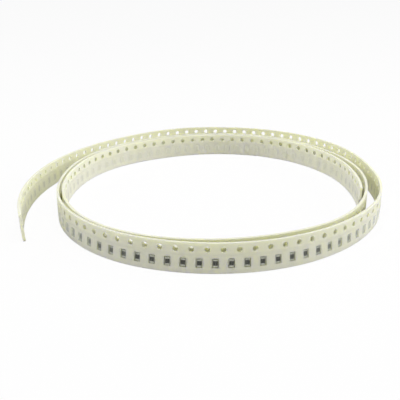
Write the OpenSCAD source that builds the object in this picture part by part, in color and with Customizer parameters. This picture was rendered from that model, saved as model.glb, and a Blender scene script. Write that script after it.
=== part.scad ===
// A cut length of punched paper carrier tape for chip resistors, wound loosely
// into an open ring and standing on its lower edge.
//
// The strip is one long piece of punched card.  It starts at the loose tail on
// the left, runs clockwise round the ring (seen from above) and ends inside it.
// A thin cover film closes the pockets from outside, a backing film from inside,
// and every pocket holds one chip resistor.
// Millimetres, +Z up, the lower edge of the strip at z = 0.

/* [Carrier strip] */
// Width of the strip, which is its height as it stands
strip_width = 8; // [7.5:0.1:12]
// Thickness of the punched card
card_thickness = 0.75; // [0.7:0.05:1.1]
// Length of strip from the centre of one sprocket hole to the next
pitch = 4; // [3.8:0.1:8]

/* [Sprocket holes] */
// Diameter of a sprocket hole
sprocket_diameter = 1.5; // [1:0.1:2]
// From the strip's upper edge down to the row of sprocket holes
sprocket_edge = 1.75; // [1.5:0.05:2]

/* [Pockets] */
// How much longer and wider a pocket is than its chip
pocket_clearance = 0.4; // [0.2:0.05:0.5]
// From the row of sprocket holes down to the row of pockets
pocket_row_drop = 3.5; // [3:0.05:4]

/* [Films] */
// From the strip's lower edge up to the edge of each film
film_edge = 0.15; // [0.05:0.05:0.5]
// Bare card between the films and the sprocket holes
film_clearance = 0.15; // [0.05:0.05:0.4]
// Thickness of the cover film, on the outside of the strip
cover_thickness = 0.06; // [0.04:0.01:0.1]
// Thickness of the backing film, on the inside of the strip
backing_thickness = 0.05; // [0.04:0.01:0.1]

/* [Chip resistors] */
// Length of a chip, which stands across the strip
chip_length = 2; // [1:0.05:3.2]
// Width of a chip
chip_width = 1.25; // [0.5:0.05:1.6]
// Thickness of a chip over its end caps
chip_thickness = 0.5; // [0.3:0.05:0.6]
// How far a chip sits above the middle of its pocket
chip_lift = 0.1; // [-0.1:0.05:0.1]
// How far an end cap reaches along the chip
cap_reach = 0.35; // [0.2:0.05:0.6]
// Thickness of the metal of an end cap
cap_thickness = 0.04; // [0.02:0.01:0.08]
// Gap between the dark glass coat and each end cap
coat_gap = 0.05; // [0.02:0.01:0.2]
// Thickness of the dark glass coat on the chip's face
coat_thickness = 0.03; // [0.01:0.01:0.05]

/* [Winding] */
// Number of pitches in one stretch of the winding
pitches_per_stretch = 6; // [5:1:8]
// Direction in which the strip leaves its outer end
tail_heading = 113.8; // [0:0.1:360]
// Degrees that each stretch bends, from the loose tail to the inner end
tail_bends = [20.0, 20.4, 21.7, 15.0]; // [0:0.1:60]
// Bends of the outer turn
outer_bends = [30.0, 23.6, 29.5, 30.6, 15.9, 27.5, 23.5, 26.6, 25.8, 31.4, 30.4,
               21.4]; // [0:0.1:60]
// Bends of the middle turn
middle_bends = [31.0, 25.7, 24.7, 33.9, 28.1, 29.9, 23.1, 33.1, 22.3, 28.2, 36.8,
                27.4]; // [0:0.1:60]
// Bends of the inner turn, up to its end
inner_bends = [23.5, 33.9, 21.8, 30.7, 34.5, 30.6, 21.4]; // [0:0.1:60]

/* [Hidden] */
stretch_bends = concat(tail_bends, outer_bends, middle_bends, inner_bends);
stretches = len(stretch_bends);
stretch_length = pitches_per_stretch * pitch;
pocket_count = stretches * pitches_per_stretch;
chip_groups = 7;
chips_per_group = ceil(pocket_count / chip_groups);
// Pockets lie midway between sprocket holes, clear of the ends of a pitch
sprocket_offset = pitch / 4;
pocket_offset = sprocket_offset + pitch / 2;
sprocket_height = strip_width - sprocket_edge;
pocket_height = sprocket_height - pocket_row_drop;
pocket_along = chip_width + pocket_clearance;
pocket_across = chip_length + pocket_clearance;
film_top = sprocket_height - sprocket_diameter / 2 - film_clearance;
chip_height = pocket_height + chip_lift;
chip_core = chip_thickness - 2 * cap_thickness;
coat_length = chip_length - 2 * cap_reach - 2 * coat_gap;
// How far a punch runs past the card, less than the gap to the next turn
cut_margin = 0.1;
// The card's faces are flats of half a pitch, so each flat holds one opening
flat_length = pitch / 2;
flats = stretches * stretch_length / flat_length;

// Colours, as seen in daylight
card_colour = [0.90, 0.89, 0.80];
film_colour = [0.86, 0.88, 0.84, 0.35];
backing_colour = [0.88, 0.87, 0.80, 0.5];
ceramic_colour = [0.93, 0.92, 0.89];
cap_colour = [0.76, 0.77, 0.78];
coat_colour = [0.07, 0.07, 0.08];

// ---- The route of the strip -------------------------------------------------
// Each stretch is an arc of one length that turns clockwise by its own bend, so
// its radius is length / bend, and each arc starts where the last one ended.

// Radius of the middle of the card in stretch i
function bend_radius(i) = stretch_length * 180 / (PI * stretch_bends[i]);

// Point at angle a along stretch i, from that stretch's start
function arc_point(i, a) =
    [bend_radius(i) * sin(a), -bend_radius(i) * (1 - cos(a))];

// Turns a point by angle h about the origin
function turned(p, h) = [p.x * cos(h) - p.y * sin(h), p.x * sin(h) + p.y * cos(h)];

// Start and heading of every stretch
route = [for (i = 0, p = [0, 0], h = tail_heading;
              i < stretches;
              p = p + turned(arc_point(i, stretch_bends[i]), h),
              h = h - stretch_bends[i],
              i = i + 1)
         [p, h]];

// Point of the strip after a length of it, set off from the middle of the card
// by side, outwards if it is positive
function strip_point(length, side) =
    let (i = min(floor(length / stretch_length), stretches - 1),
         a = (length / stretch_length - i) * stretch_bends[i])
    route[i][0] + turned(arc_point(i, a) + side * [sin(a), cos(a)], route[i][1]);

// One long edge of the strip seen from above, with a point at the end of each flat
function edge_line(side) =
    [for (n = [0 : flats]) strip_point(n * flat_length, side)];

function reversed(list) = [for (n = [len(list) - 1 : -1 : 0]) list[n]];

// The whole ring is centred on the box of its outermost and innermost faces
outer_face = card_thickness / 2 + cover_thickness;
inner_face = -card_thickness / 2 - backing_thickness;
face_lines = concat(edge_line(outer_face), edge_line(inner_face));
line_x = [for (p = face_lines) p.x];
line_y = [for (p = face_lines) p.y];
ring_middle = [min(line_x) + max(line_x), min(line_y) + max(line_y)] / 2;

// ---- Placing things along the strip -----------------------------------------

// Moves its children to the start of stretch i, with the strip running along +X
// and its outside towards +Y
module at_stretch(i) {
    translate([route[i][0].x - ring_middle.x, route[i][0].y - ring_middle.y, 0])
        rotate([0, 0, route[i][1]])
            children();
}

// Moves its children along stretch i by a length of strip
module along_stretch(i, length) {
    translate([0, -bend_radius(i), 0])
        rotate([0, 0, -length / stretch_length * stretch_bends[i]])
            translate([0, bend_radius(i), 0])
                children();
}

// A band along the whole strip, between two offsets from the card's middle and
// from its lower to its upper edge
module band(near, far, lower, upper) {
    translate([-ring_middle.x, -ring_middle.y, lower])
        linear_extrude(height = upper - lower)
            polygon(concat(edge_line(far), reversed(edge_line(near))));
}

// ---- The strip and its films ------------------------------------------------

module sprocket_hole() {
    translate([0, 0, sprocket_height])
        rotate([90, 0, 0])
            cylinder(h = card_thickness + 2 * cut_margin,
                     d = sprocket_diameter, center = true, $fn = 24);
}

module pocket() {
    translate([-pocket_along / 2, -card_thickness / 2 - cut_margin,
               pocket_height - pocket_across / 2])
        cube([pocket_along, card_thickness + 2 * cut_margin, pocket_across]);
}

// The card, punched right through
module carrier_strip() {
    color(card_colour)
        difference() {
            band(-card_thickness / 2, card_thickness / 2, 0, strip_width);
            for (i = [0 : stretches - 1], k = [0 : pitches_per_stretch - 1])
                at_stretch(i) {
                    along_stretch(i, k * pitch + sprocket_offset) sprocket_hole();
                    along_stretch(i, k * pitch + pocket_offset) pocket();
                }
        }
}

module cover_film() {
    color(film_colour) band(card_thickness / 2, outer_face, film_edge, film_top);
}

module backing_film() {
    color(backing_colour) band(inner_face, -card_thickness / 2, film_edge, film_top);
}

// ---- The chip resistors -----------------------------------------------------

// Moves its children into each pocket of one group, with the chip's back on the
// backing film and its marked face outwards (+Y)
module in_pockets(group) {
    first = (group - 1) * chips_per_group;
    last = min(first + chips_per_group, pocket_count) - 1;
    for (n = [first : last]) {
        i = floor(n / pitches_per_stretch);
        at_stretch(i)
            along_stretch(i, (n % pitches_per_stretch) * pitch + pocket_offset)
                translate([0, -card_thickness / 2, chip_height])
                    children();
    }
}

// The white ceramic block between the end caps' metal
module chip_body() {
    translate([-chip_width / 2, cap_thickness, cap_thickness - chip_length / 2])
        cube([chip_width, chip_core, chip_length - 2 * cap_thickness]);
}

// A folded C of metal round one end of the chip
module end_cap() {
    rotate([90, 0, 90])
        linear_extrude(height = chip_width, center = true)
            difference() {
                translate([0, chip_length / 2 - cap_reach])
                    square([chip_thickness, cap_reach]);
                translate([cap_thickness, chip_length / 2 - cap_reach - cut_margin])
                    square([chip_core, cap_reach + cut_margin - cap_thickness]);
            }
}

// The dark glass that covers the resistive track
module glass_coat() {
    translate([-chip_width / 2, cap_thickness + chip_core, -coat_length / 2])
        cube([chip_width, coat_thickness, coat_length]);
}

module chip_bodies(group) {
    color(ceramic_colour) in_pockets(group) chip_body();
}

module chip_end_caps(group) {
    color(cap_colour)
        in_pockets(group) {
            end_cap();
            mirror([0, 0, 1]) end_cap();
        }
}

module chip_glass_coats(group) {
    color(coat_colour) in_pockets(group) glass_coat();
}

// ---- What is drawn ----------------------------------------------------------

carrier_strip();
cover_film();
backing_film();
chip_bodies(1);  // chip_bodies_1
chip_bodies(2);  // chip_bodies_2
chip_bodies(3);  // chip_bodies_3
chip_bodies(4);  // chip_bodies_4
chip_bodies(5);  // chip_bodies_5
chip_bodies(6);  // chip_bodies_6
chip_bodies(7);  // chip_bodies_7
chip_end_caps(1);  // chip_end_caps_1
chip_end_caps(2);  // chip_end_caps_2
chip_end_caps(3);  // chip_end_caps_3
chip_end_caps(4);  // chip_end_caps_4
chip_end_caps(5);  // chip_end_caps_5
chip_end_caps(6);  // chip_end_caps_6
chip_end_caps(7);  // chip_end_caps_7
chip_glass_coats(1);  // chip_glass_coats_1
chip_glass_coats(2);  // chip_glass_coats_2
chip_glass_coats(3);  // chip_glass_coats_3
chip_glass_coats(4);  // chip_glass_coats_4
chip_glass_coats(5);  // chip_glass_coats_5
chip_glass_coats(6);  // chip_glass_coats_6
chip_glass_coats(7);  // chip_glass_coats_7
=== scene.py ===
# %% [markdown]
# # A cut length of carrier tape with chip resistors
#
# Chip resistors are sold in a narrow strip of punched card.  A row of round
# holes lets a machine pull the strip along, and a row of pockets holds one
# resistor each, closed by a thin film on both faces.  This length has been cut
# off and wound into a loose ring, so it stands on its edge by itself.
#
# The packed model comes first, and the box of a part can be read from it.
# Nothing that is made here may be bigger than the real thing.

import bpy
import numpy as np
from mathutils import Matrix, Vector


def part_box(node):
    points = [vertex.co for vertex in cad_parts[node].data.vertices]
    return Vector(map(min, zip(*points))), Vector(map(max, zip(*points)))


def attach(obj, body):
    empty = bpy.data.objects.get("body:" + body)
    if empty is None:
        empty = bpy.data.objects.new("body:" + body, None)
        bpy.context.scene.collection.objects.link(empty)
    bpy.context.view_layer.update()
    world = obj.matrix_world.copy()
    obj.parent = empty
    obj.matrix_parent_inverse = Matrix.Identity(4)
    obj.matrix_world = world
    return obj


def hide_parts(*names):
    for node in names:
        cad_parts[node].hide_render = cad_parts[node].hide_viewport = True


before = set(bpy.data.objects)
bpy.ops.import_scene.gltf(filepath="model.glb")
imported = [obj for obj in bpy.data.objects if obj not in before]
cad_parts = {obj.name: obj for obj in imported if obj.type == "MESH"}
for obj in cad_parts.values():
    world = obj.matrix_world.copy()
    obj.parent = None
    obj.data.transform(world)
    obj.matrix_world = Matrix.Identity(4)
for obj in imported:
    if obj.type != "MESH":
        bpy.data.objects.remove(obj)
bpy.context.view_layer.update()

# %% [markdown]
# ## Camera
#
# A camera is a point and three directions.  Turning a fixed set of axes by a
# pitch, a yaw and a roll gives the three directions, and they are the columns
# of the camera's matrix: to the right, upwards and backwards.

# %% Camera
MM = 0.001
CAMERA_PLACE = np.array([3.22, -185.51, 71.89]) * MM
CAMERA_PITCH, CAMERA_YAW, CAMERA_ROLL = 0.381761, -0.027918, 0.002826
LENS, SENSOR_WIDTH = 53.57, 36.0
NEAREST, FARTHEST = 0.005, 20.0
EAST, NORTH, TOP = np.eye(3)


def turn_between(first, second, angle):
    """Turn two directions in their plane: first cos + second sin, and so on."""
    return (first * np.cos(angle) + second * np.sin(angle),
            second * np.cos(angle) - first * np.sin(angle))


def stand(thing, right, up, back, place):
    """Put a thing at a place: the four are the columns of its matrix."""
    columns = np.array([right, up, back, place]).T
    thing.matrix_world = Matrix([*columns.tolist(), [0.0, 0.0, 0.0, 1.0]])


ahead, right = turn_between(NORTH, EAST, CAMERA_YAW)
up, ahead = turn_between(TOP, ahead, CAMERA_PITCH)
right, up = turn_between(right, up, CAMERA_ROLL)
camera_data = bpy.data.cameras.new("camera")
camera_data.lens = LENS
camera_data.sensor_width = SENSOR_WIDTH
camera_data.clip_start, camera_data.clip_end = NEAREST, FARTHEST
camera = bpy.data.objects.new("camera", camera_data)
bpy.context.scene.collection.objects.link(camera)
stand(camera, right, up, -ahead, CAMERA_PLACE)
bpy.context.scene.camera = camera
bpy.context.scene.view_settings.view_transform = "Standard"
print("camera looks along", np.round(ahead, 3))

# %% [markdown]
# ## Shader sums as Python
#
# A material, like the world, is a net of nodes.  Adding every node by hand hides
# the idea, so a small class wraps a node's output and lets Python's own signs
# add Math nodes: `1 - mask` is then a Subtract node.  Any other node comes from
# one method, and the few groups of nodes that come back have methods too.

# %% Wrap a socket
class Signal:
    """What one node puts out, with Python's operators as Math nodes."""

    def __init__(self, recipe, socket):
        self.recipe, self.socket = recipe, socket

    def __add__(self, other): return self.recipe.math("ADD", self, other)
    def __radd__(self, other): return self.recipe.math("ADD", other, self)
    def __sub__(self, other): return self.recipe.math("SUBTRACT", self, other)
    def __rsub__(self, other): return self.recipe.math("SUBTRACT", other, self)
    def __mul__(self, other): return self.recipe.math("MULTIPLY", self, other)
    def __rmul__(self, other): return self.recipe.math("MULTIPLY", other, self)
    def __pow__(self, other): return self.recipe.math("POWER", self, other)
    def __rpow__(self, other): return self.recipe.math("POWER", other, self)


print("reflected forms", *(name for name in vars(Signal) if name.startswith("__r")))

# %% Nodes as a recipe
class Recipe:
    """The nodes of a material or a world, and the one method that adds them."""

    def __init__(self, owner):
        self.owner = owner
        owner.use_nodes = True
        self.tree = owner.node_tree
        self.tree.nodes.clear()

    def node(self, kind, settings=None, inputs=None, output=0):
        """Add a node, make its settings, fill its sockets, give an output."""
        made = self.tree.nodes.new(kind)
        for key, value in (settings or {}).items():
            setattr(made, key, value)
        for key, value in (inputs or {}).items():
            if isinstance(value, Signal):
                self.tree.links.new(value.socket, made.inputs[key])
            else:
                made.inputs[key].default_value = value
        return Signal(self, made.outputs[output] if made.outputs else None)

    def math(self, operation, *values):
        """One Math node on its values, in order."""
        return self.node("ShaderNodeMath", {"operation": operation}, dict(enumerate(values)))

    def mix(self, amount, first, second):
        """Blend two colours: first where amount is 0, second where it is 1."""
        return self.node("ShaderNodeMix", {"data_type": "RGBA", "clamp_factor": True},
                         {0: amount, 6: first, 7: second}, output=2)

    def step(self, value, start, end):
        """A soft step: 0 at start, 1 at end, with eased ends between them."""
        return self.node("ShaderNodeMapRange", {"interpolation_type": "SMOOTHSTEP"},
                         {0: value, 1: start, 2: end, 3: 0.0, 4: 1.0})

    def band(self, value, low, high, soft):
        """1 between low and high, falling to 0 over soft on both sides."""
        return (self.step(value, low - soft, low)
                * (1 - self.step(value, high, high + soft)))

    def noise(self, place, scale, detail=3.0, roughness=0.5):
        """Cloudy values from about 0 to 1, with scale lumps to the unit."""
        return self.node("ShaderNodeTexNoise", {}, {
            "Vector": place, "Scale": scale, "Detail": detail, "Roughness": roughness})

    def stretch(self, place, factors):
        """Multiply a place by three factors, which squeezes a pattern."""
        return self.node("ShaderNodeVectorMath", {"operation": "MULTIPLY"},
                         {0: place, 1: factors})

    def bump(self, height, strength, distance):
        """Tilt the shading by a height, which is distance metres at 1."""
        return self.node("ShaderNodeBump", {}, {
            "Height": height, "Strength": strength, "Distance": distance})

    def strip_place(self):
        """Where a point lay before it was wrapped: length, side, height."""
        return self.node("ShaderNodeAttribute", {"attribute_name": "strip_place"},
                         output="Vector")

    def part(self, place, axis):
        """One number of a place: X for the length, Y the side, Z the height."""
        return self.node("ShaderNodeSeparateXYZ", {}, {0: place}, output=axis)

    def seen(self):
        """1 for a ray from the camera, in a reflection or through something."""
        from_camera, reflected, passed = (
            self.node("ShaderNodeLightPath", output=f"Is {kind} Ray")
            for kind in ("Camera", "Glossy", "Transmission"))
        return self.math("MAXIMUM", from_camera, self.math("MAXIMUM", reflected, passed))

    def finish(self, inputs):
        """End in one Principled shader and return the material."""
        shader = self.node("ShaderNodeBsdfPrincipled", {}, inputs)
        self.node("ShaderNodeOutputMaterial", {}, {"Surface": shader})
        return self.owner


def new_material(name):
    """An empty material as a recipe."""
    return Recipe(bpy.data.materials.new(name))


print("groups of nodes", *(name for name in vars(Recipe) if name[0] != "_"))

# %% [markdown]
# ## Floor and light
#
# A pale floor under a soft lamp gives the even light of a product table.  Most
# of the light comes from above, so the strip's upper edge is the brightest, and
# the upright faces are lit by what the floor sends back up.  A weaker lamp on
# each side shapes the curve.  The world is plain white to the camera, to
# reflections and to light that passes through something, and a soft grey to
# everything else.  The floor does nearly the same: most of what the camera sees
# of it is plain white, and the rest is the lit paper, with the ring's shadow.

# %% Floor
WHITE = (1, 1, 1, 1)
FLOOR_SIDE = 6.0
MOTTLES_PER_METRE = 40.0
FLOOR_WHITE = 0.93
floor_mesh = bpy.data.meshes.new("floor")
half = FLOOR_SIDE / 2
floor_corners = [(-half, -half, 0), (half, -half, 0), (half, half, 0), (-half, half, 0)]
floor_mesh.from_pydata(floor_corners, [], [(0, 1, 2, 3)])
floor = bpy.data.objects.new("floor", floor_mesh)
bpy.context.scene.collection.objects.link(floor)
paper = new_material("floor_paper")
place = paper.node("ShaderNodeTexCoord", output="Object")
mottle = paper.noise(place, MOTTLES_PER_METRE)
lit_paper = paper.node("ShaderNodeBsdfPrincipled", {}, {
    "Base Color": paper.mix(mottle, (0.93, 0.93, 0.93, 1), (0.95, 0.95, 0.95, 1)),
    "Roughness": 0.9, "Specular IOR Level": 0.2})
plain_white = paper.node("ShaderNodeEmission", {}, {"Color": WHITE, "Strength": 1.0})
mixed = paper.node("ShaderNodeMixShader", {},
                   {0: paper.seen() * FLOOR_WHITE, 1: lit_paper, 2: plain_white})
paper.node("ShaderNodeOutputMaterial", {}, {"Surface": mixed})
floor_mesh.materials.append(paper.owner)
print("floor", FLOOR_SIDE, "m wide")

# %% World and lamps
SKY_STRENGTH = 0.32
studio = Recipe(bpy.data.worlds.new("studio"))
bpy.context.scene.world = studio.owner
soft_sky, backdrop = (
    studio.node("ShaderNodeBackground", {}, {"Color": WHITE, "Strength": strength})
    for strength in (SKY_STRENGTH, 1.0))
sky = studio.node("ShaderNodeMixShader", {}, {0: studio.seen(), 1: soft_sky, 2: backdrop})
studio.node("ShaderNodeOutputWorld", {}, {"Surface": sky})


def soft_lamp(name, place, side, watts):
    """A square lamp at a place, facing the ring's middle."""
    data = bpy.data.lights.new(name, "AREA")
    data.size, data.energy = side, watts
    lamp = bpy.data.objects.new(name, data)
    bpy.context.scene.collection.objects.link(lamp)
    back = np.array(place) / np.linalg.norm(place)
    side_way = np.cross(NORTH, back)
    side_way /= np.linalg.norm(side_way)
    stand(lamp, side_way, np.cross(back, side_way), back, place)


soft_lamp("overhead", (0.01, -0.035, 0.36), side=0.24, watts=0.69)
soft_lamp("right", (0.8, 0.12, 0.35), side=0.5, watts=3.1)
soft_lamp("left", (-0.8, 0.05, 0.3), side=0.5, watts=1.4)
print("sky", SKY_STRENGTH, "lamps", len(bpy.data.lights))

# %% [markdown]
# ## The route of the strip
#
# A card strip on edge bends like a spring.  Here its route is a chain of short
# arcs that meet without a corner, each of the same length of strip and with a
# bend of its own.  With the plane's points as complex numbers, a turn is one
# product, and running sums give every arc's start.  Every piece is then drawn
# flat, by its length along the strip, its side and its height, and wrapped on
# the route by one function, so the pieces can't drift apart.
#
# Loose card doesn't stand quite upright all the way round.  Its loose end leans
# out, and where two turns press on each other at the front they lean in.  So
# the same function twists the strip, by angles given at a few places along it.

# %% Route
PITCH = 4.0
STRETCH_LENGTH = 6 * PITCH
TAIL_HEADING = 113.8
# Degrees for each stretch, from the loose end on the outside to the inner end.
BENDS = np.array([20.0, 20.4, 21.7, 15.0,
                  30.0, 23.6, 29.5, 30.6, 15.9, 27.5, 23.5, 26.6, 25.8, 31.4, 30.4, 21.4,
                  31.0, 25.7, 24.7, 33.9, 28.1, 29.9, 23.1, 33.1, 22.3, 28.2, 36.8, 27.4,
                  23.5, 33.9, 21.8, 30.7, 34.5, 30.6, 21.4])
STRIP_LENGTH = STRETCH_LENGTH * len(BENDS)
bend_angles = np.radians(BENDS)
radii = STRETCH_LENGTH / bend_angles
headings = np.radians(TAIL_HEADING) - np.concatenate([[0.0], np.cumsum(bend_angles)[:-1]])


def arc(radius, angle):
    """Point on an arc that starts along the real axis and turns clockwise."""
    return radius * (np.sin(angle) - 1j * (1 - np.cos(angle)))


steps = np.exp(1j * headings) * arc(radii, bend_angles)
starts = np.concatenate([[0.0], np.cumsum(steps)[:-1]])


def route_point(length, side):
    """Start of the stretch + the turned arc + side times the outward normal."""
    stretch = np.clip((length // STRETCH_LENGTH).astype(int), 0, len(BENDS) - 1)
    angle = (length - stretch * STRETCH_LENGTH) / radii[stretch]
    local = arc(radii[stretch], angle) + side * (np.sin(angle) + 1j * np.cos(angle))
    return starts[stretch] + np.exp(1j * headings[stretch]) * local


print("bends add up to", round(BENDS.sum() / 360, 2), "turns")

# %% Wrap flat shapes on the route
CARD = 0.75
COVER, BACKING = 0.06, 0.05
# Degrees of lean at some lengths in mm, where outwards is positive.
LEAN_AT = [0, 34, 238, 272, 312, 330, 356, 575, 610, 640, 670]
LEAN = np.radians([3.0, 0, 0, -8.0, -8.0, -5.5, 0, 0, -2.5, -2.5, 0])
TWIST_HEIGHT = 2.5
corners = np.concatenate([route_point(np.arange(0, STRIP_LENGTH + 1, PITCH / 2), edge)
                          for edge in (CARD / 2 + COVER, -CARD / 2 - BACKING)])
ring_middle = (complex(corners.real.min(), corners.imag.min())
               + complex(corners.real.max(), corners.imag.max())) / 2


def wrap(length, side, height):
    """Metres in the frame for a length, side and height in millimetres.

    Where the strip leans, it twists about a line along it at twist height:
    side' = side cos + (height - twist height) sin.  It is lifted by half the
    card times sin, so that its lower corner stays on the floor.
    """
    angle = np.interp(length, LEAN_AT, LEAN)
    leant_side = side * np.cos(angle) + (height - TWIST_HEIGHT) * np.sin(angle)
    leant_height = (height * np.cos(angle) - side * np.sin(angle)
                    + CARD / 2 * np.abs(np.sin(angle)))
    plan = route_point(length, leant_side) - ring_middle
    return np.stack([plan.real, plan.imag, leant_height], axis=-1) * MM


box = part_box("carrier_strip")
print("strip", STRIP_LENGTH, "mm, card box", np.round(np.array(box) / MM, 2).tolist())

# %% [markdown]
# ## From arrays to a mesh
#
# Blender takes points and faces as plain arrays.  Each point also keeps where it
# lay before it was wrapped, as an attribute, so that a grain can follow the
# strip round the ring.  A second attribute marks the faces that a punch or a
# knife has cut, because cut card looks rougher than its pressed face.

# %% Make a piece
def make_piece(name, flat, faces, replaced, cut=None, crease=35.0):
    """Wrap flat points (length, side, height), join the faces and shade them."""
    used, faces = np.unique(faces, return_inverse=True)
    faces = faces.reshape(-1, 4)
    flat = flat[used]
    mesh = bpy.data.meshes.new(name)
    mesh.from_pydata(wrap(*flat.T), [], faces.tolist())
    mesh.attributes.new("strip_place", "FLOAT_VECTOR", "POINT")
    mesh.attributes["strip_place"].data.foreach_set("vector", flat.astype(np.float32).ravel())
    if cut is not None:
        mesh.attributes.new("cut_face", "FLOAT", "FACE")
        mesh.attributes["cut_face"].data.foreach_set("value", cut.astype(np.float32))
    mesh.polygons.foreach_set("use_smooth", np.ones(len(faces), bool))
    mesh.set_sharp_from_angle(angle=np.radians(crease))
    piece = bpy.data.objects.new(name, mesh)
    bpy.context.scene.collection.objects.link(piece)
    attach(piece, "root")
    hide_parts(*replaced)
    print(name, len(flat), "points", len(faces), "faces")
    return piece


def quads(first, second, third, fourth):
    """Rows of four point numbers, one for each face."""
    return np.stack(np.broadcast_arrays(first, second, third, fourth), axis=-1).reshape(-1, 4)

# %% Carry a loop along the strip
def carry(lengths, loop_side, loop_height):
    """A loop (side, height) at every length, and the faces between loops.

    Point p of loop n has the number n times the loop's points + p.  Its face
    joins points p and p + 1 of that loop to the same two of the next loop.
    """
    size = len(loop_side)
    points = np.stack([np.repeat(lengths, size), np.tile(loop_side, len(lengths)),
                       np.tile(loop_height, len(lengths))], axis=-1)
    loop, point = np.meshgrid(np.arange(len(lengths) - 1), np.arange(size), indexing="ij")
    here, after = loop * size, (point + 1) % size
    return points, np.stack([here + point, here + after,
                             here + size + after, here + size + point], axis=-1)


print("one face", *carry([0, 1], [0, 1], [0, 0])[1][0, 0])

# %% [markdown]
# ## The punched card
#
# The strip is one closed tube of faces: up its outer face, over the edge, down
# its inner face and under the lower edge, with the corners eased a little as a
# slitting knife leaves them.  Every 4 mm the same lines along the strip are
# drawn again: they pass round one sprocket hole and one pocket, so the faces
# inside those can be left out.  A ring of faces fits each round hole in its
# square, and walls join the two sides of the card.

# %% Lines of the card
STRIP_WIDTH = 8.0
HOLE_RADIUS, HOLE_HEIGHT = 0.75, 6.25
HOLE_AT, POCKET_AT = 1.0, 3.0
POCKET_ALONG, POCKET_ACROSS, POCKET_HEIGHT = 1.65, 2.4, 2.75
EASED = 0.04
SQUARE, SQUARE_STEPS = 0.9, 6
# Two rows more, which only keep the faces from growing long.
LOW_ROW, GAP_ROW = 0.8, 4.6
HAIR = 0.01
cells = int(STRIP_LENGTH / PITCH)
cell_starts = PITCH * np.arange(cells)[:, None]
square_lines = np.linspace(-SQUARE, SQUARE, SQUARE_STEPS + 1)
pocket_lines = np.array([-0.5, -1 / 6, 1 / 6, 0.5]) * POCKET_ALONG
cell_lines = np.concatenate([[0.0], HOLE_AT + square_lines, POCKET_AT + pocket_lines])
hole_line, pocket_line = 1, 1 + len(square_lines)
along = np.concatenate([(cell_starts + cell_lines).ravel(), [STRIP_LENGTH]])
rows = np.concatenate([
    [EASED, LOW_ROW], POCKET_HEIGHT + np.array([-0.5, 0, 0.5]) * POCKET_ACROSS,
    [GAP_ROW], HOLE_HEIGHT + square_lines, [STRIP_WIDTH - EASED]])
loop_height = np.concatenate([rows, [STRIP_WIDTH] * 2, rows[::-1], [0.0, 0.0]])
to_inner = np.array([CARD / 2 - EASED, EASED - CARD / 2])
loop_side = np.concatenate([np.full(len(rows), CARD / 2), to_inner,
                            np.full(len(rows), -CARD / 2), -to_inner])
turns = len(loop_height)
outer_row = np.arange(len(rows))
inner_row = len(rows) + 2 + outer_row[::-1]
print("lines along", len(along), "points round", turns)

# %% Faces of the card
body, tube = carry(along, loop_side, loop_height)
in_cell = np.arange(len(along) - 1)[:, None] % len(cell_lines)
next_height = np.roll(loop_height, -1)
low, high = np.minimum(loop_height, next_height), np.maximum(loop_height, next_height)
on_face = (loop_side == np.roll(loop_side, -1)) & (high > low)


def opening(first_line, lines, middle, tall):
    """True for the faces between an opening's lines and within its height."""
    return (on_face & (in_cell >= first_line) & (in_cell < first_line + len(lines) - 1)
            & (low > middle - tall / 2 - HAIR) & (high < middle + tall / 2 + HAIR))


kept = ~(opening(hole_line, square_lines, HOLE_HEIGHT, 2 * SQUARE)
         | opening(pocket_line, pocket_lines, POCKET_HEIGHT, POCKET_ACROSS))
card_faces = [tube[kept]]
card_cut = [np.broadcast_to(~on_face, kept.shape)[kept]]
print("faces kept", kept.sum(), "of", kept.size)

# %% Round holes in their squares
ticks = np.arange(4 * SQUARE_STEPS)
corner_turn = np.pi / 4 + ticks * np.pi / (2 * SQUARE_STEPS)
square_path = np.array([(SQUARE_STEPS - k, SQUARE_STEPS) for k in range(SQUARE_STEPS)]
                       + [(0, SQUARE_STEPS - k) for k in range(SQUARE_STEPS)]
                       + [(k, 0) for k in range(SQUARE_STEPS)]
                       + [(SQUARE_STEPS, k) for k in range(SQUARE_STEPS)])
first_row = int(np.argmin(np.abs(rows - (HOLE_HEIGHT - SQUARE))))
cell_first = np.arange(cells)[:, None] * len(cell_lines)
ring_points, hole_sides = [], []
for side, row_of in ((CARD / 2, outer_row), (-CARD / 2, inner_row)):
    rim = np.stack(np.broadcast_arrays(
        cell_starts + HOLE_AT + HOLE_RADIUS * np.cos(corner_turn), side,
        HOLE_HEIGHT + HOLE_RADIUS * np.sin(corner_turn)), axis=-1).reshape(-1, 3)
    first = len(body) + sum(len(p) for p in ring_points)
    ring_points.append(rim)
    rim_index = first + np.arange(len(rim)).reshape(cells, len(ticks))
    square_index = ((cell_first + hole_line + square_path[:, 0]) * turns
                    + row_of[first_row + square_path[:, 1]])
    hole_sides.append((rim_index, square_index))
ahead_one = np.roll(ticks, -1)
(outer_rim, outer_square), (inner_rim, inner_square) = hole_sides
hole_faces = [
    quads(outer_rim, outer_rim[:, ahead_one], outer_square[:, ahead_one], outer_square),
    quads(inner_rim, inner_square, inner_square[:, ahead_one], inner_rim[:, ahead_one]),
    quads(outer_rim, inner_rim, inner_rim[:, ahead_one], outer_rim[:, ahead_one])]
card_faces += hole_faces
card_cut += [np.full(len(faces), is_cut) for faces, is_cut in zip(hole_faces, (0, 0, 1))]
print("holes", cells)

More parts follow.
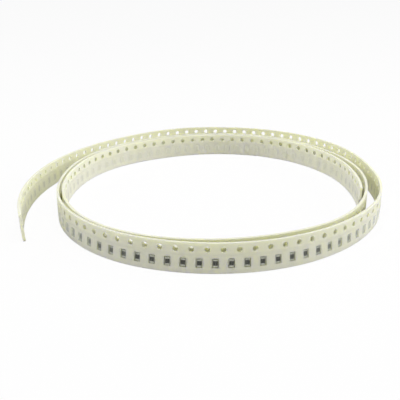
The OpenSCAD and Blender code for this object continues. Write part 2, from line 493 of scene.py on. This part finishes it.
# %% Walls of the pockets and the two cut ends
pocket_row = int(np.argmin(np.abs(rows - (POCKET_HEIGHT - POCKET_ACROSS / 2))))
pocket_path = np.array([(3, 2), (2, 2), (1, 2), (0, 2), (0, 1),
                        (0, 0), (1, 0), (2, 0), (3, 0), (3, 1)])
on_line = (cell_first + pocket_line + pocket_path[:, 0]) * turns
outer_edge = on_line + outer_row[pocket_row + pocket_path[:, 1]]
inner_edge = on_line + inner_row[pocket_row + pocket_path[:, 1]]
following = np.roll(np.arange(len(pocket_path)), -1)
pocket_walls = quads(outer_edge, inner_edge, inner_edge[:, following], outer_edge[:, following])
rung = np.arange(len(rows) - 1)
ladder = np.concatenate([
    quads(outer_row[rung], inner_row[rung], inner_row[rung + 1], outer_row[rung + 1]),
    [[outer_row[-1], inner_row[-1], inner_row[-1] - 1, outer_row[-1] + 1],
     [turns - 1, turns - 2, inner_row[0], outer_row[0]]]])
knife_cut = [pocket_walls, ladder, (len(along) - 1) * turns + ladder[:, ::-1]]
card_faces += knife_cut
card_cut += [np.ones(len(faces)) for faces in knife_cut]
card = make_piece("card_strip", np.concatenate([body] + ring_points),
                  np.concatenate(card_faces), ["carrier_strip"],
                  cut=np.concatenate(card_cut))

# %% [markdown]
# ## The films
#
# A clear cover film is ironed on the outer face and a milky backing film on the
# inner face, both only as high as the gap below the sprocket holes.  Film that
# bridges an opening never stays flat: it dips a little, which is what catches
# the light over each pocket.  So each film is a thin closed sheet whose points
# are moved by a dome over every pocket: depth times (1 - x squared) times
# (1 - z squared), with x and z running from -1 to 1 across the pocket.

# %% Films
FILM_LOW, FILM_TOP = 0.15, 5.35
GLUE = 0.01
COVER_DIP, BACKING_DIP = 0.05, 0.02
film_lines = np.array([0.0, 0.7, 1.4, 1.95, 2.175, 2.4, 2.7, 3.0, 3.3, 3.6, 3.825])
film_along = np.concatenate([(cell_starts + film_lines).ravel(), [STRIP_LENGTH]])
film_rows = np.array([FILM_LOW, 0.5, 0.9, 1.25, 1.55, 1.85, 2.3, 2.75, 3.2, 3.65, 3.95,
                      4.3, 4.7, 5.05, FILM_TOP])


def dome(length, height):
    """(1 - x squared)(1 - z squared) over each pocket, and 0 between pockets."""
    across = (np.mod(length, PITCH) - POCKET_AT) / (POCKET_ALONG / 2)
    upwards = (height - POCKET_HEIGHT) / (POCKET_ACROSS / 2)
    return np.clip(1 - across ** 2, 0, 1) * np.clip(1 - upwards ** 2, 0, 1)


def film_piece(name, outside, inside, depth, replaced):
    """A closed band between two sides of the card, moved by depth times dome."""
    height = np.concatenate([film_rows, film_rows[::-1]])
    points, skin = carry(film_along, np.repeat([outside, inside], len(film_rows)), height)
    points[:, 1] += depth * dome(points[:, 0], points[:, 2])
    rung = np.arange(len(film_rows) - 1)
    end = quads(rung, len(height) - 1 - rung, len(height) - 2 - rung, rung + 1)
    far_end = (len(film_along) - 1) * len(height) + end[:, ::-1]
    return make_piece(name, points, np.concatenate([skin.reshape(-1, 4), end, far_end]),
                      replaced)


cover = film_piece("cover_film_sheet", CARD / 2 + COVER, CARD / 2 + GLUE, -COVER_DIP,
                   ["cover_film"])
backing = film_piece("backing_film_sheet", -CARD / 2 - GLUE, -CARD / 2 - BACKING,
                     -BACKING_DIP, ["backing_film"])

# %% [markdown]
# ## The chip resistors
#
# A chip is a block of white ceramic with a dark glass coat over its resistive
# track and tinned ends.  All of it is tiny and nothing on it has a sharp edge,
# so one soft box serves for each kind: the surface of a grid cube, where every
# point is pulled to the nearest point of a smaller box plus a radius.  Copies
# of it are set in the pockets as whole arrays, each one a little off centre and
# askew, because a chip lies loose.

# %% Soft box
TICKS = 4  # points along each edge of the grid cube


def soft_box(size, radius):
    """Nearest point of the inner box + radius times the unit way out from it."""
    half_size = np.array(size) / 2
    ticks_on = [np.array([-h, radius - h, h - radius, h]) for h in half_size]
    grid = np.arange(TICKS ** 3).reshape(TICKS, TICKS, TICKS)
    sides = []
    for axis in range(3):
        layers = np.moveaxis(grid, axis, 0)
        for layer, flip in ((layers[0], axis != 1), (layers[-1], axis == 1)):
            face = quads(layer[:-1, :-1], layer[1:, :-1], layer[1:, 1:], layer[:-1, 1:])
            sides.append(face[:, ::-1] if flip else face)
    corners_at = np.stack(np.meshgrid(*ticks_on, indexing="ij"), axis=-1).reshape(-1, 3)
    inner = np.clip(corners_at, radius - half_size, half_size - radius)
    way_out = corners_at - inner
    reach = np.linalg.norm(way_out, axis=1, keepdims=True)
    return inner + radius * way_out / np.maximum(reach, 1e-9), np.concatenate(sides)


print("faces of a soft box", len(soft_box((1, 1, 1), 0.1)[1]))

# %% Lay copies in the pockets
CHIP_LENGTH, CHIP_WIDTH, CHIP_THICK = 2.0, 1.25, 0.5
CHIP_HEIGHT = 2.66
PLAY_ALONG, PLAY_UP, PLAY_DEGREES = 0.06, 0.04, 1.6
GROUPS = 7
loose = np.random.default_rng(11)
shift_along = loose.uniform(-PLAY_ALONG, PLAY_ALONG, cells)
shift_up = loose.uniform(-PLAY_UP, PLAY_UP, cells)
askew = np.radians(loose.uniform(-PLAY_DEGREES, PLAY_DEGREES, cells))


def in_pockets(size, radius, centres, name, kind):
    """One soft box at each centre (along, side, up) of every chip."""
    shape, shape_faces = soft_box(size, radius)
    one = np.concatenate([shape + np.array(centre) for centre in centres])
    one_faces = np.concatenate([shape_faces + len(shape) * k for k in range(len(centres))])
    turned_along = one[:, 0] * np.cos(askew)[:, None] - one[:, 2] * np.sin(askew)[:, None]
    turned_up = one[:, 0] * np.sin(askew)[:, None] + one[:, 2] * np.cos(askew)[:, None]
    middle = PITCH * np.arange(cells) + POCKET_AT + shift_along
    points = np.stack([middle[:, None] + turned_along,
                       np.broadcast_to(one[:, 1] - CARD / 2, turned_along.shape),
                       turned_up + (CHIP_HEIGHT + shift_up)[:, None]], axis=-1).reshape(-1, 3)
    faces = (one_faces + len(one) * np.arange(cells)[:, None, None]).reshape(-1, 4)
    replaced = [f"{kind}_{group}" for group in range(1, GROUPS + 1)]
    return make_piece(name, points, faces, replaced, crease=50.0)


print("chips", cells, "askew by up to", round(float(np.degrees(askew.max())), 2), "degrees")

# %% Chips
CAP_REACH, CAP_THICK, COAT_GAP, COAT_THICK = 0.35, 0.04, 0.05, 0.03
CERAMIC_EDGE, TIN_EDGE, GLASS_EDGE = 0.03, 0.05, 0.028
CAP_SHY, COAT_SHY = 0.03, 0.06
core = CHIP_THICK - 2 * CAP_THICK
coat_length = CHIP_LENGTH - 2 * CAP_REACH - 2 * COAT_GAP
cap_middle = (CHIP_LENGTH - CAP_REACH) / 2
ceramic_blocks = in_pockets(
    (CHIP_WIDTH, core, CHIP_LENGTH - 2 * CAP_THICK), CERAMIC_EDGE,
    [(0, CHIP_THICK / 2, 0)], "ceramic_blocks", "chip_bodies")
tinned_ends = in_pockets(
    (CHIP_WIDTH - CAP_SHY, CHIP_THICK, CAP_REACH), TIN_EDGE,
    [(0, CHIP_THICK / 2, cap_middle), (0, CHIP_THICK / 2, -cap_middle)],
    "tinned_ends", "chip_end_caps")
glass_coats = in_pockets(
    (CHIP_WIDTH - COAT_SHY, 2 * COAT_THICK, coat_length), GLASS_EDGE,
    [(0, CHIP_THICK - CAP_THICK, 0)], "glass_coats", "chip_glass_coats")

# %% [markdown]
# ## Card
#
# Pressed card is nearly white and quite matt.  Its fibres lie along the strip,
# so a noise squeezed across the strip gives the grain, and a wider cloud gives
# the uneven pulp.  Light goes a little way into card and comes out again beside
# and behind, which makes the gaps between turns glow instead of going black:
# that is what subsurface scattering does.  Cut faces show plies.

# %% Card finish
CARD_DARK, CARD_LIGHT = (0.87, 0.873, 0.645, 1), (0.90, 0.90, 0.69, 1)
FIBRE_COLOUR, CUT_COLOUR = (0.92, 0.92, 0.76, 1), (0.89, 0.89, 0.63, 1)
FIBRE_SQUEEZE, PULP_SQUEEZE = (1.2, 6.0, 9.0), (0.35, 0.35, 0.5)
PLY_RATE, PLY_WANDER = 26.0, 3.0
LIGHT_REACH = (1.5, 1.55, 0.95)
board = new_material("pressed_card")
lie = board.strip_place()
cut_mask = board.node("ShaderNodeAttribute", {"attribute_name": "cut_face"}, output="Fac")
fibres = board.noise(board.stretch(lie, FIBRE_SQUEEZE), 1.6, 5.0, 0.65)
pulp = board.noise(board.stretch(lie, PULP_SQUEEZE), 1.0)
plies = board.math("SINE", board.part(lie, "Y") * PLY_RATE + fibres * PLY_WANDER)
tone = board.mix(pulp, CARD_DARK, CARD_LIGHT)
tone = board.mix(board.step(fibres, 0.35, 0.75) * 0.35, tone, FIBRE_COLOUR)
tone = board.mix(cut_mask * (plies * 0.25 + 0.35), tone, CUT_COLOUR)
card.data.materials.append(board.finish({
    "Base Color": tone, "Roughness": 0.72 + fibres * 0.2,
    "Normal": board.bump(fibres + cut_mask * plies * 0.6, 0.35, 0.03 * MM),
    "Subsurface Weight": 1.0, "Subsurface Radius": LIGHT_REACH,
    "Subsurface Scale": MM, "Specular IOR Level": 0.35}))
print("card finish", len(board.tree.nodes), "nodes")

# %% [markdown]
# ## Films
# A film is mostly something to look through, so its finish is a low alpha with
# a faint colour of its own.  Two tracks along each film, where the sealing iron
# pressed it on the card, are a little denser and finely ribbed.  The backing
# film is milky: it hides the air in a pocket.  Over the chip it is nearly opaque
# and darker, as painted shade of the chip in its pocket.  So its colour and its
# alpha have one level over the pocket and another over the chip, both as
# soft-edged windows in each pitch.  Over each pocket the cover film takes a
# greyish colour where it is seen at a slant, which is a painted sheen.

# %% A film's finish
# Millimetres up and along the strip; the soft ones are the widths of soft edges.
SEAL_LOW, SEAL_HIGH, SEAL_WIDTH, SEAL_SOFT = 0.45, 4.45, 0.5, 0.08
AIR_SOFT, CHIP_SOFT, CHIP_EDGE = 0.06, 0.12, 0.1
RIB_RATE, CREASE_SQUEEZE, CREASE_ALPHA = 16.0, (0.9, 1.0, 0.5), 0.015


def film_finish(name, colours, alphas, roughness, wrinkle, sheen):
    """Blend three colours, on the card, over a pocket's air and over the chip.

    Alpha is that on the card, plus the seal tracks' own, plus what the air and
    the chip add in their windows.  Where the film bridges a pocket, alpha also
    grows by sheen times (1 - cosine) squared of the angle that it is looked at,
    so the film's flat colour there is a painted sheen, strongest when seen along
    the film.  The backing film's colour over the chip is painted shade of the
    chip in its pocket.
    """
    on_card, over_air, chip_shade_and_sheen = colours
    card_alpha, seal_alpha, air_alpha, chip_alpha = alphas
    film = new_material(name)
    lie = film.strip_place()
    run, rise = film.part(lie, "X"), film.part(lie, "Z")
    low_track, high_track = (film.band(rise, low, low + SEAL_WIDTH, SEAL_SOFT)
                             for low in (SEAL_LOW, SEAL_HIGH))
    sealed = low_track + high_track
    in_pitch = film.math("MODULO", run, PITCH)
    air, chip = (film.band(in_pitch, POCKET_AT - wide / 2, POCKET_AT + wide / 2, soft)
                 * film.band(rise, middle - tall / 2, middle + tall / 2, soft)
                 for wide, tall, middle, soft in (
                     (POCKET_ALONG, POCKET_ACROSS, POCKET_HEIGHT, AIR_SOFT),
                     (CHIP_WIDTH - CHIP_EDGE, CHIP_LENGTH - CHIP_EDGE, CHIP_HEIGHT, CHIP_SOFT)))
    ribs = film.math("SINE", run * RIB_RATE)
    creases = film.noise(film.stretch(lie, CREASE_SQUEEZE), 1.4)
    glancing = film.node("ShaderNodeLayerWeight", {}, {"Blend": 0.5}, output="Facing")
    tint = film.mix(chip, film.mix(air, on_card, over_air), chip_shade_and_sheen)
    return film.finish({
        "Base Color": tint, "Roughness": roughness + creases * 0.12,
        "Normal": film.bump(creases * wrinkle + sealed * ribs * 0.12, 0.6, 0.08 * MM),
        # The last term of the alpha is a painted sheen over each pocket.
        "Alpha": (card_alpha + sealed * seal_alpha + air * air_alpha
                  + chip * (chip_alpha - air_alpha) + creases * CREASE_ALPHA
                  + air * glancing ** 2 * sheen),
        "IOR": 1.4, "Specular IOR Level": 0.3})


print("seal tracks from", SEAL_LOW, "and", SEAL_HIGH, "mm up")

# %% Finish both films
# The cover film's colour over each pocket.  It shows mostly where the film is seen at a slant,
# so it is a painted sheen in a greyish tone.
PAINTED_POCKET_SHEEN = (0.74, 0.77, 0.68, 1)
cover.data.materials.append(film_finish(
    "clear_cover_film", ((0.88, 0.89, 0.78, 1), PAINTED_POCKET_SHEEN, PAINTED_POCKET_SHEEN),
    (0.015, 0.015, 0.0, 0.0), roughness=0.30, wrinkle=1.0, sheen=0.8))
# Over the chip the backing film is nearly opaque and darker: painted shade of the chip in its
# pocket.
backing.data.materials.append(film_finish(
    "milky_backing_film",
    ((0.92, 0.91, 0.78, 1), (0.95, 0.945, 0.75, 1), (0.77, 0.77, 0.62, 1)),
    (0.015, 0.015, 0.92, 0.88), roughness=0.50, wrinkle=0.5, sheen=0.0))
print("pocket and chip windows every", PITCH, "mm")

# %% [markdown]
# ## Chip finishes
#
# Fired alumina is a chalky white with fine grain.  Tin plate is a soft grey
# metal whose reflections are blurred by tiny crystals.  The glass coat is close
# to black and has the slight orange peel of a printed and fired glaze.

# %% Ceramic, tin and glass
ceramic = new_material("fired_alumina")
grain = ceramic.noise(ceramic.strip_place(), 14.0, 4.0)
ceramic_blocks.data.materials.append(ceramic.finish({
    "Base Color": ceramic.mix(grain, (0.76, 0.75, 0.70, 1), (0.84, 0.83, 0.78, 1)),
    "Roughness": 0.55 + grain * 0.15,
    "Normal": ceramic.bump(grain, 0.3, 0.01 * MM)}))

tin = new_material("tin_plate")
lie = tin.strip_place()
crystals = tin.node("ShaderNodeTexVoronoi", {}, {"Vector": lie, "Scale": 9.0},
                    output="Distance")
smears = tin.noise(lie, 3.0, 4.0)
tinned_ends.data.materials.append(tin.finish({
    "Base Color": tin.mix(smears, (0.42, 0.43, 0.37, 1), (0.60, 0.61, 0.53, 1)),
    "Metallic": 0.9, "Roughness": 0.34 + smears * 0.18,
    "Normal": tin.bump(crystals + smears, 0.35, 0.02 * MM)}))

glaze = new_material("dark_glaze")
peel = glaze.noise(glaze.strip_place(), 5.0)
glass_coats.data.materials.append(glaze.finish({
    "Base Color": glaze.mix(peel, (0.022, 0.024, 0.015, 1), (0.045, 0.048, 0.032, 1)),
    "Roughness": 0.28 + peel * 0.15,
    "Normal": glaze.bump(peel, 0.4, 0.02 * MM)}))
print("materials", len(bpy.data.materials))
